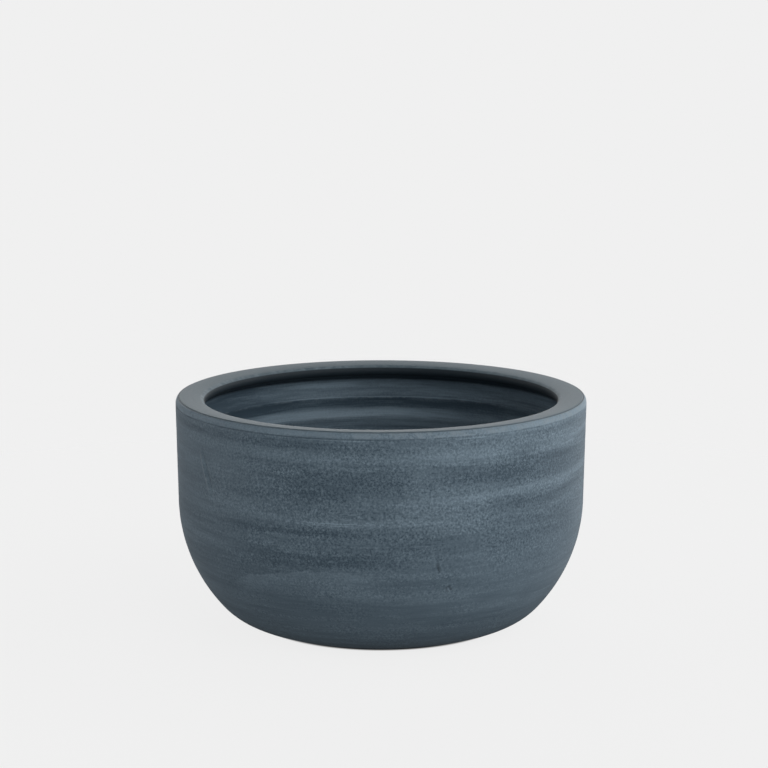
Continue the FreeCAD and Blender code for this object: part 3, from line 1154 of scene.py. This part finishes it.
    def _rim(self, pen: SectionPen, outer: float, top: float) -> None:
        """Draws the wall and the rim, with the two fine lines that the rib left at its outer edge.

        Args:
            pen: A pen that stands where the belly ends.
            outer: The rim's outer radius.
            top: The rim's highest level.
        """
        turn = math.radians(self.rim_turn)
        step = self.rim_round - self.rim_edge
        edge = (outer - self.rim_round + step * math.cos(turn), top - self.rim_edge)
        shoulder = (outer - self.rim_round, edge[1] - step * math.sin(turn))
        pen.line_to(outer, shoulder[1] - self.wall_line_width, self.wall_parts)
        groove = (outer - self.wall_line_depth, shoulder[1] - self.wall_line_width / 2)
        pen.line_to(*groove, 2, painted_shade=self.wall_line_shade)
        pen.line_to(outer, shoulder[1], 2)
        pen.arc(shoulder, self.rim_turn, self.round_parts, wear_and_highlight=self.round_wear)
        pen.arc(edge, self.rim_line_turn - self.rim_turn, 1, wear_and_highlight=self.edge_wear)
        line_end = self.rim_line_turn + self.rim_line_width
        groove = polar(edge, self.rim_edge - self.rim_line_depth, line_end - self.rim_line_width / 2)
        pen.line_to(*groove, self.line_parts, painted_shade=self.rim_line_shade)
        pen.zone = Zone.RIM
        pen.line_to(*polar(edge, self.rim_edge, line_end), self.line_parts)
        pen.arc(edge, 90.0 - line_end, 2)
        nose = outer - self.rim_width + self.nose_radius
        fall = 2 * math.radians(self.rim_slope)
        dome = self.nose_radius + (edge[0] - nose) / math.sin(fall)
        pen.arc((edge[0], top - dome), 2 * self.rim_slope, self.dome_parts)
        centre = pen.tip.co - Vector((-math.sin(fall), 0.0, math.cos(fall))) * self.nose_radius
        nose_end = 180.0 - 2 * self.rim_slope - self.lip_slope
        top_parts, under_parts = self.nose_parts
        pen.arc((centre.x, centre.z), self.nose_turn, top_parts, wear_and_highlight=self.crest_highlight)
        pen.zone = Zone.INSIDE
        pen.arc((centre.x, centre.z), nose_end - self.nose_turn, under_parts, painted_shade=self.nose_shade)

    def _press(self, mesh: Mesh, mark: Mark) -> None:
        """Cuts the faces beside a mark finer, presses the mark into them, and paints shade into its groove
        and a highlight onto its raised lip.

        Args:
            mesh: The turned bowl.
            mark: The mark.
        """
        zones = mesh.verts.layers.float[ZONE_LAYER]
        painted_shades = mesh.verts.layers.float[PAINTED_SHADE_LAYER]
        wears_and_highlights = mesh.verts.layers.float[WEAR_AND_HIGHLIGHT_LAYER]

        def near(vert: Vert) -> bool:
            """Tells whether a vertex is beside the mark, on the outside.

            Args:
                vert: A vertex of the bowl.

            Returns:
                True beside the mark.
            """
            if vert[zones] != Zone.OUTSIDE.value or vert.co.y > 0.0:
                return False
            angle, height, radius = self._bearing(vert)
            along, right = mark.offset(angle, height, radius)
            return max(mark.past(along, radius), abs(right)) < self.mark_margin

        edges = [edge for edge in mesh.edges if any(near(vert) for vert in edge.verts)]
        bmesh.ops.subdivide_edges(mesh, edges=edges, cuts=self.mark_cuts, use_grid_fill=True)
        step = math.tau / self.turns
        for vert in filter(near, mesh.verts):
            angle, height, radius = self._bearing(vert)
            within = math.atan2(vert.co.y, vert.co.x) % step - step / 2
            rounded = radius * math.cos(within) / math.cos(step / 2)
            along, right = mark.offset(angle, height, radius)
            relief = mark.height(along, right, radius)
            vert.co.xy *= (rounded + relief) / radius
            # Paints shade into the groove and a highlight onto the raised lip.
            vert[painted_shades] = max(vert[painted_shades], -relief * self.mark_shading)
            vert[wears_and_highlights] = max(vert[wears_and_highlights], min(1.0, relief * self.mark_highlight))

    @staticmethod
    def _bearing(vert: Vert) -> tuple[float, float, float]:
        """Returns a vertex's angle from the front in degrees, its height and its distance from the axis."""
        return math.degrees(math.atan2(vert.co.x, -vert.co.y)), vert.co.z, vert.co.xy.length

    def _settle(self, mesh: Mesh, top: float) -> None:
        """Gives the turned mesh the small unevenness of a hand-thrown bowl.

        Args:
            mesh: The turned bowl.
            top: The rim's highest level.
        """
        zones = mesh.verts.layers.float[ZONE_LAYER]
        paths = mesh.verts.layers.float[PATH_LAYER]
        for vert in mesh.verts:
            outward = Vector((vert.co.x, vert.co.y, 0.0)).normalized()
            angle = math.atan2(outward.x, -outward.y)
            rise = max(0.0, vert.co.z / top)
            lobes = sum(share * math.cos(count * angle + phase) for count, share, phase in self.lobes)
            swell = self.out_of_round * lobes * rise ** 2
            if vert[zones] != Zone.UNDERSIDE.value:
                place = Vector((outward.x, outward.y, vert[paths] * self.ripple_fineness))
                swell += self.ripple * noise.noise(place)
            vert.co += outward * swell
            vert.co.z += self.rim_lean * outward.y * rise ** 3


@dataclass(frozen=True)
class Ring:
    """One ring of a stack: its half sizes, its level, its wear, and 1 for an oval or less for a box."""

    half_length: float
    half_width: float
    level: float
    wear_and_highlight: float = 0.0
    roundness: float = 1.0

    def point(self, turn: float, centre: Vector) -> Vector:
        """Returns the ring's point at a turn about a centre."""
        along = math.copysign(abs(math.cos(turn)) ** self.roundness, math.cos(turn))
        across = math.copysign(abs(math.sin(turn)) ** self.roundness, math.sin(turn))
        return Vector((centre.x + self.half_length * along, centre.y + self.half_width * across, self.level))


def round_ring(radius: float, level: float, wear_and_highlight: float = 0.0) -> Ring:
    """Returns a round ring."""
    return Ring(radius, radius, level, wear_and_highlight)


def stack_rings(rings: list[Ring], centre: Vector, around: int) -> Mesh:
    """Builds a closed mesh from rings, each extruded from the one before.

    Args:
        rings: The rings, from one end to the other.
        centre: The middle of the rings.
        around: How many vertices a ring has.

    Returns:
        The mesh, with its faces turned outwards.
    """
    mesh = bmesh.new()
    mesh.verts.layers.float.new(WEAR_AND_HIGHLIGHT_LAYER)
    turns = mesh.verts.layers.float.new(TURN_LAYER)
    wears_and_highlights = mesh.verts.layers.float[WEAR_AND_HIGHLIGHT_LAYER]
    verts = bmesh.ops.create_circle(mesh, cap_ends=True, segments=around, radius=1.0)["verts"]
    for vert in verts:
        vert[turns] = math.atan2(vert.co.y, vert.co.x)
    edges = mesh.edges[:]
    for number, ring in enumerate(rings):
        if number:
            made = bmesh.ops.extrude_edge_only(mesh, edges=edges)["geom"]
            verts = [item for item in made if isinstance(item, Vert)]
            edges = [item for item in made if isinstance(item, Edge)]
        for vert in verts:
            vert.co = ring.point(vert[turns], centre)
            vert[wears_and_highlights] = ring.wear_and_highlight
    bmesh.ops.holes_fill(mesh, edges=edges, sides=0)
    bmesh.ops.recalc_face_normals(mesh, faces=mesh.faces)
    return mesh


@dataclass
class DrainPlug:
    """The rubber stopper: a tapered plug, a flange that lies on the floor and a ribbed pinch tab."""

    finish: MouldedRubber
    node: str = "drain_plug"
    slot: str = "plug_rubber"
    neck_radius: float = 0.0137
    tip_radius: float = 0.01233
    flange_thickness: float = 0.0035
    bevel: float = 0.0012
    bevel_parts: int = 4
    mould_line: float = 0.00015
    tip_wear: float = 0.3
    line_wear: float = 0.4
    edge_wear: float = 0.7
    rib_wear: float = 0.8
    top_wear: float = 0.4
    tab_height: float = 0.014
    tab_width: float = 0.024
    tab_thickness: float = 0.006
    tab_corner: float = 0.008
    tab_fillet: float = 0.0012
    tab_roundness: float = 0.3
    tab_rings: int = 44
    ribs: tuple[float, ...] = (0.0042, 0.0068, 0.0094)
    rib_width: float = 0.0006
    rib_height: float = 0.0004
    around: int = 64

    def build(self) -> Piece:
        """Stacks the plug from rings.

        Returns:
            The finished plug, riding on its body in place of its node.
        """
        low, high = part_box(self.node)
        top = high.z - self.tab_height
        bottom = top - self.flange_thickness
        middle = (top + bottom) / 2
        rings = [
            round_ring(self.tip_radius - self.bevel, low.z),
            round_ring(self.tip_radius, low.z + self.bevel, self.tip_wear),
            round_ring(self.neck_radius, bottom),
            round_ring(high.x, bottom),
            round_ring(high.x, middle - 2 * self.mould_line),
            round_ring(high.x + self.mould_line, middle, self.line_wear),
            round_ring(high.x, middle + 2 * self.mould_line),
        ]
        for part in range(self.bevel_parts + 1):
            turn = math.radians(90.0 * part / self.bevel_parts)
            radius = high.x - self.bevel * (1 - math.cos(turn))
            level = top - self.bevel * (1 - math.sin(turn))
            rings.append(round_ring(radius, level, self.edge_wear))
        rings += [self._tab_ring(part / self.tab_rings, top) for part in range(self.tab_rings + 1)]
        mesh = stack_rings(rings, Vector(), self.around)
        return finish_piece(mesh, "drain_stopper", self.finish.material(), Body.PLUG, self.node)

    def _tab_ring(self, share: float, base: float) -> Ring:
        """Returns a ring of the pinch tab.

        Args:
            share: From 0 at the tab's foot to 1 at its top. The rings lie closer towards the top.
            base: The level of the tab's foot.

        Returns:
            The ring, with the tab's fillet, ribs and rounded shoulders.
        """
        rise = self.tab_height * math.sin(math.pi / 2 * share)
        left = self.tab_height - rise
        fillet = self.tab_fillet - round_off(self.tab_fillet, rise)
        rib = sum(math.exp(-(((rise - middle) / self.rib_width) ** 2)) for middle in self.ribs)
        return Ring(
            half_length=self.tab_width / 2 - self.tab_corner + round_off(self.tab_corner, left) + fillet,
            half_width=self.tab_thickness / 2 - self.bevel + round_off(self.bevel, left) + fillet
            + self.rib_height * rib,
            level=base + rise,
            wear_and_highlight=self.rib_wear * min(1.0, rib) + self.top_wear * share ** 4,
            roundness=self.tab_roundness,
        )


def round_off(radius: float, inward: float) -> float:
    """Returns how far a quarter circle stands out at a distance in from its end, up to its radius."""
    short = max(0.0, radius - inward)
    return math.sqrt(max(0.0, radius ** 2 - short ** 2))


@dataclass
class FootPads:
    """The rubber pads under the foot ring, each a bevelled disc on its glue film, dished below."""

    finish: MouldedRubber
    nodes: tuple[str, ...] = ("foot_pad_1", "foot_pad_2", "foot_pad_3", "foot_pad_4")
    slot: str = "pad_rubber"
    film_inset: float = 0.0004
    film_thickness: float = 0.0003
    bevel: float = 0.0006
    land: float = 0.0016
    dish: float = 0.0004
    dish_slope: float = 0.0009
    film_wear: float = 0.3
    side_wear: float = 0.5
    sole_wear: float = 0.9
    dish_wear: float = 0.2
    around: int = 56

    def build(self) -> list[Piece]:
        """Returns the finished pads, each in place of its node."""
        material = self.finish.material()
        return [self._pad(node, material) for node in self.nodes]

    def _pad(self, node: str, material: Material) -> Piece:
        """Builds one pad.

        Args:
            node: The node that it stands for.
            material: The rubber.

        Returns:
            The pad.
        """
        low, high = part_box(node)
        radius = (high.x - low.x) / 2
        film = high.z - self.film_thickness
        land = radius - self.bevel - self.land
        rings = [
            round_ring(radius - self.film_inset, high.z),
            round_ring(radius - self.film_inset, film),
            round_ring(radius, film, self.film_wear),
            round_ring(radius, low.z + self.bevel, self.side_wear),
            round_ring(radius - self.bevel, low.z, self.sole_wear),
            round_ring(land, low.z, self.sole_wear),
            round_ring(land - self.dish_slope, low.z + self.dish, self.dish_wear),
        ]
        mesh = stack_rings(rings, (low + high) / 2, self.around)
        name = node.replace("foot_pad", "rubber_foot")
        return finish_piece(mesh, name, material, Body.POT, node)


def finish_piece(
    mesh: Mesh, name: str, material: Material, body: Body, node: str
) -> Piece:
    """Turns a finished mesh into a piece of the object.

    Args:
        mesh: The mesh, in place. It is freed.
        name: The piece's name.
        material: Its material.
        body: The body that it rides on.
        node: The node that it stands for.

    Returns:
        The piece.
    """
    for face in mesh.faces:
        face.smooth = True
    for edge in mesh.edges:
        edge.smooth = edge.calc_face_angle(0.0) < SHARP_ANGLE
    data = bpy.data.meshes.new(name)
    mesh.to_mesh(data)
    mesh.free()
    data.materials.append(material)
    piece = bpy.data.objects.new(name, data)
    bpy.context.scene.collection.objects.link(piece)
    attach(piece, body.value)
    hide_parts(node)
    log.info("%s: %d vertices, %d faces, in place of %s", name, len(data.vertices), len(data.polygons), node)
    return piece


@dataclass(frozen=True)
class Lamp:
    """A large soft light, far off: where it stands, in degrees, how strong it is and how wide it looks."""

    azimuth: float
    elevation: float
    strength: float
    width: float = 60.0

    def direction(self) -> Vector:
        """Returns the direction from the object to the lamp."""
        around = math.radians(self.azimuth)
        up = math.radians(self.elevation)
        return Vector((math.sin(around) * math.cos(up), -math.cos(around) * math.cos(up), math.sin(up)))


@dataclass(frozen=True)
class Studio:
    """A plain pale floor, soft light mostly from the right, and the camera at the photograph's angle."""

    lamps: tuple[Lamp, ...] = (
        Lamp(50.0, 30.0, 1.20),
        Lamp(180.0, 16.0, 1.60),
        Lamp(112.0, 20.0, 1.32),
        Lamp(260.0, 15.0, 0.92),
        Lamp(5.0, 32.0, 0.60),
    )
    bounce: float = 0.62
    bounce_tilt: float = 0.4
    bounce_reach: float = 0.6
    sky: float = 0.04
    backdrop: float = 0.871
    floor_reflects: float = 0.07
    shade_near: float = 0.05
    shade_far: float = 0.36
    # Where the floor's painted shadow round the foot ends.
    painted_shadow_near: float = 0.1225
    painted_shadow_far: float = 0.1290
    horizon: float = 0.05
    floor_radius: float = 1.7
    floor_segments: int = 96
    floor_fade: float = 0.7
    rim_level: float = 0.229
    camera_distance: float = 2.2
    camera_elevation: float = 10.0
    aim: tuple[float, float, float] = (0.0031, 0.0, 0.2381)
    lens: float = 103.125

    def build(self) -> None:
        """Adds the floor, the light and the camera."""
        self._world()
        self._floor()
        for number, lamp in enumerate(self.lamps, 1):
            self._lamp(f"lamp_{number}", lamp)
        self._camera()
        bpy.context.scene.view_settings.view_transform = "Standard"
        log.info("studio: %d lamps, floor and camera", len(self.lamps))

    def _world(self) -> None:
        """Lights the scene with the pale floor's bounce from below, and shows the camera a plain backdrop."""
        world = bpy.data.worlds.new("studio_dome")
        world.use_nodes = True
        bpy.context.scene.world = world
        world.node_tree.nodes.clear()
        graph = Graph(world.node_tree)
        normal = graph.node("ShaderNodeTexCoord").outputs["Generated"]
        up = graph.node("ShaderNodeSeparateXYZ", {0: normal}).outputs["Z"]
        below = graph.smooth(up, self.horizon, -self.horizon)
        strength = graph.scaled(below, self.bounce - self.sky, self.sky)
        dome = graph.node("ShaderNodeBackground", {"Color": WHITE, "Strength": strength})
        plain = graph.node("ShaderNodeBackground", {"Color": WHITE, "Strength": self.backdrop})
        seen = graph.node("ShaderNodeLightPath").outputs["Is Camera Ray"]
        mix = graph.node("ShaderNodeMixShader", {0: seen, 1: dome.outputs[0], 2: plain.outputs[0]})
        graph.node("ShaderNodeOutputWorld", {"Surface": mix.outputs[0]})

    def _floor(self) -> None:
        """Adds the floor, which fades into the backdrop at its edge, is clear from below, and has a painted
        shadow round the foot.
        """
        mesh = bmesh.new()
        bmesh.ops.create_circle(mesh, cap_ends=True, segments=self.floor_segments, radius=self.floor_radius)
        data = bpy.data.meshes.new("floor")
        mesh.to_mesh(data)
        mesh.free()
        floor = bpy.data.objects.new("floor", data)
        bpy.context.scene.collection.objects.link(floor)
        material = bpy.data.materials.new("pale_floor")
        material.use_nodes = True
        material.node_tree.nodes.clear()
        graph = Graph(material.node_tree)
        position = graph.node("ShaderNodeTexCoord").outputs["Object"]
        distance = graph.node("ShaderNodeVectorMath", {0: position}, operation="LENGTH").outputs["Value"]
        lamplight = sum(lamp.strength * lamp.direction().z for lamp in self.lamps) / math.pi + self.sky
        share = self.floor_reflects
        lit = graph.node("ShaderNodeBsdfDiffuse", {"Color": (share, share, share, 1.0)})
        # Painted shadow: the floor that the camera sees goes dark under and round the foot.
        painted_contact_shadow = graph.smooth(distance, self.painted_shadow_near, self.painted_shadow_far)
        shown = graph.times(painted_contact_shadow, self.backdrop - share * lamplight)
        glow = graph.node("ShaderNodeEmission", {"Color": WHITE, "Strength": shown})
        surface = graph.node("ShaderNodeAddShader", {0: lit.outputs[0], 1: glow.outputs[0]})
        clear = graph.node("ShaderNodeBsdfTransparent")
        under = graph.node("ShaderNodeNewGeometry").outputs["Backfacing"]
        fade = graph.math("MAXIMUM", graph.smooth(distance, self.floor_fade, self.floor_radius), under)
        across = graph.node("ShaderNodeSeparateXYZ", {0: position}).outputs["X"]
        side = graph.spread(across, -self.bounce_reach, self.bounce_reach)
        tilt = graph.scaled(side, self.bounce * self.bounce_tilt, self.bounce)
        beyond = graph.times(graph.smooth(distance, self.shade_near, self.shade_far), tilt)
        bounced = graph.node("ShaderNodeEmission", {"Color": WHITE, "Strength": beyond})
        seen = graph.node("ShaderNodeLightPath").outputs["Is Camera Ray"]
        either = graph.node("ShaderNodeMixShader", {0: seen, 1: bounced.outputs[0], 2: surface.outputs[0]})
        mix = graph.node("ShaderNodeMixShader", {0: fade, 1: either.outputs[0], 2: clear.outputs[0]})
        graph.node("ShaderNodeOutputMaterial", {"Surface": mix.outputs[0]})
        data.materials.append(material)
        floor.visible_shadow = False

    def _lamp(self, name: str, lamp: Lamp) -> None:
        """Adds one soft light.

        Args:
            name: The light's name.
            lamp: Where it stands and how strong it is.
        """
        data = bpy.data.lights.new(name, "SUN")
        data.energy = lamp.strength
        data.angle = math.radians(lamp.width)
        light = bpy.data.objects.new(name, data)
        light.rotation_euler = lamp.direction().to_track_quat("Z", "Y").to_euler()
        bpy.context.scene.collection.objects.link(light)

    def _camera(self) -> None:
        """Adds the camera."""
        data = bpy.data.cameras.new("camera")
        data.lens = self.lens
        camera = bpy.data.objects.new("camera", data)
        tilt = math.radians(self.camera_elevation)
        camera.location = (
            0.0,
            -self.camera_distance * math.cos(tilt),
            self.rim_level + self.camera_distance * math.sin(tilt),
        )
        camera.rotation_euler = (Vector(self.aim) - camera.location).to_track_quat("-Z", "Y").to_euler()
        bpy.context.scene.collection.objects.link(camera)
        bpy.context.scene.camera = camera


def main() -> None:
    """Builds the planter's pieces and the studio round them."""
    logging.basicConfig(level=logging.INFO, format="%(name)s %(message)s")
    effects = EffectLibrary()
    ThrownBowl(SlateWash(effects)).build()
    plug_rubber = MouldedRubber(
        effects,
        "plug_rubber",
        base=(0.012, 0.012, 0.013, 1.0),
        bloom=(0.085, 0.083, 0.080, 1.0),
        grain=900.0,
    )
    pad_rubber = MouldedRubber(
        effects,
        "pad_rubber",
        base=(0.022, 0.021, 0.020, 1.0),
        bloom=(0.100, 0.096, 0.090, 1.0),
        grain=1400.0,
    )
    DrainPlug(plug_rubber).build()
    FootPads(pad_rubber).build()
    Studio().build()


if __name__ == "__main__":
    main()
